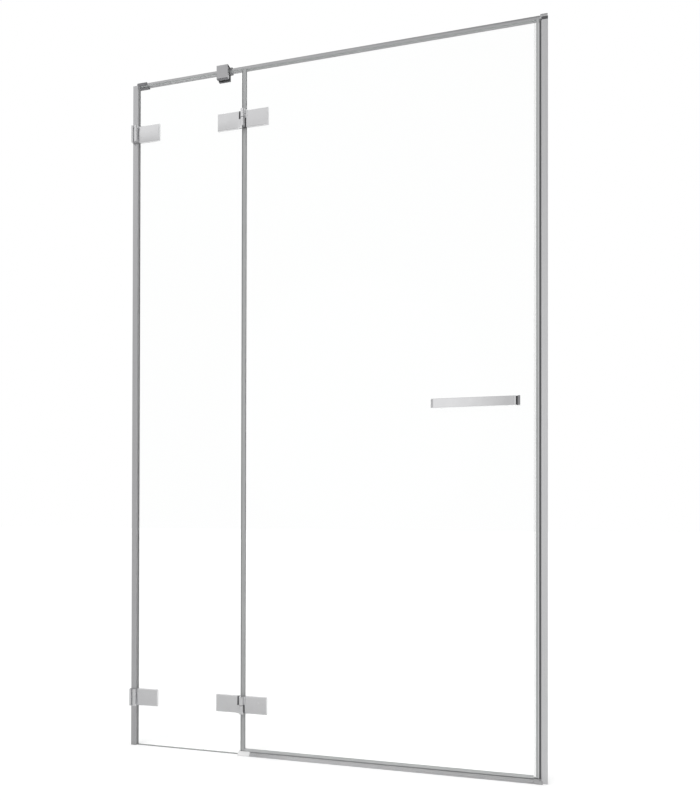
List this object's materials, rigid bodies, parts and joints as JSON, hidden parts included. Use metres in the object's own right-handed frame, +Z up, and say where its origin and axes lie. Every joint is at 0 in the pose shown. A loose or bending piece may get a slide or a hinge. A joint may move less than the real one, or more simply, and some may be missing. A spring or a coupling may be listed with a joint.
{
  "type": "pivot shower door",
  "caption": "Frameless niche shower door: narrow fixed glass on wall brackets, wide glass leaf on barrel hinges, flat bar handle, round stabiliser bar, wall profiles and threshold.",
  "frame": {"origin": "floor level under the threshold, half way between the walls, in the middle of the glass thickness", "axes": "+Z up, +X to the closing side as seen from outside, -Y outside, where the door opens"},
  "size_m": [1.2, 0.09, 2.0265],
  "materials": {
    "chromed_zinc": "polished",
    "polished_aluminium": "bright anodised",
    "clear_glass": "clear toughened",
    "stainless_steel": "stainless",
    "clear_seal": "translucent soft PVC",
    "black_rubber": "matt",
    "black_plastic": "matt",
    "pale_plastic": "gloss"
  },
  "bodies": {
    "root": {"bar_clamp_body": "chromed_zinc", "bar_clamp_grub_screws": "stainless_steel", "bar_clamp_pads": "black_rubber", "bar_clamp_side_screw": "stainless_steel", "bar_socket_grub_screws": "stainless_steel", "fixed_floor_seal": "clear_seal", "fixed_glass": "clear_glass", "left_bar_collar": "chromed_zinc", "left_bar_socket": "chromed_zinc", "left_glazing_gasket": "black_rubber", "left_wall_profile": "polished_aluminium", "lower_bracket_back_plate": "chromed_zinc", "lower_bracket_gaskets": "clear_seal", "lower_bracket_screws": "stainless_steel", "lower_hinge_fixed_back_plate": "chromed_zinc", "lower_hinge_fixed_gaskets": "clear_seal", "lower_hinge_fixed_leaf": "chromed_zinc", "lower_hinge_fixed_screws": "stainless_steel", "lower_hinge_pin": "stainless_steel", "lower_hinge_washer": "black_rubber", "lower_wall_bracket": "chromed_zinc", "right_bar_socket": "chromed_zinc", "right_profile_cap": "black_plastic", "right_strike_profile": "polished_aluminium", "right_strike_screws": "stainless_steel", "right_wall_profile": "polished_aluminium", "stabiliser_bar": "chromed_zinc", "threshold_left_cap": "pale_plastic", "threshold_right_cap": "black_plastic", "threshold_strip": "polished_aluminium", "upper_bracket_back_plate": "chromed_zinc", "upper_bracket_gaskets": "clear_seal", "upper_bracket_screws": "stainless_steel", "upper_hinge_fixed_back_plate": "chromed_zinc", "upper_hinge_fixed_gaskets": "clear_seal", "upper_hinge_fixed_leaf": "chromed_zinc", "upper_hinge_fixed_screws": "stainless_steel", "upper_hinge_pin": "stainless_steel", "upper_hinge_washer": "black_rubber", "upper_wall_bracket": "chromed_zinc", "wall_magnet_strip": "black_rubber"},
    "door": {"door_bottom_seal": "clear_seal", "door_glass": "clear_glass", "door_hinge_edge_seal": "clear_seal", "door_magnet_strip": "black_rubber", "door_strike_edge_seal": "clear_seal", "handle_bar": "chromed_zinc", "handle_bolts": "stainless_steel", "handle_posts": "chromed_zinc", "handle_washers": "clear_seal", "lower_hinge_door_back_plate": "chromed_zinc", "lower_hinge_door_gaskets": "clear_seal", "lower_hinge_door_leaf": "chromed_zinc", "lower_hinge_door_screws": "stainless_steel", "upper_hinge_door_back_plate": "chromed_zinc", "upper_hinge_door_gaskets": "clear_seal", "upper_hinge_door_leaf": "chromed_zinc", "upper_hinge_door_screws": "stainless_steel"}
  },
  "joints": [
    {"name": "door_swing", "type": "hinge", "parent": "root", "child": "door", "pos_m": [-0.243, -0.017, 1], "axis": [0, 0, -1], "range_deg": [0, 110]}
  ]
}
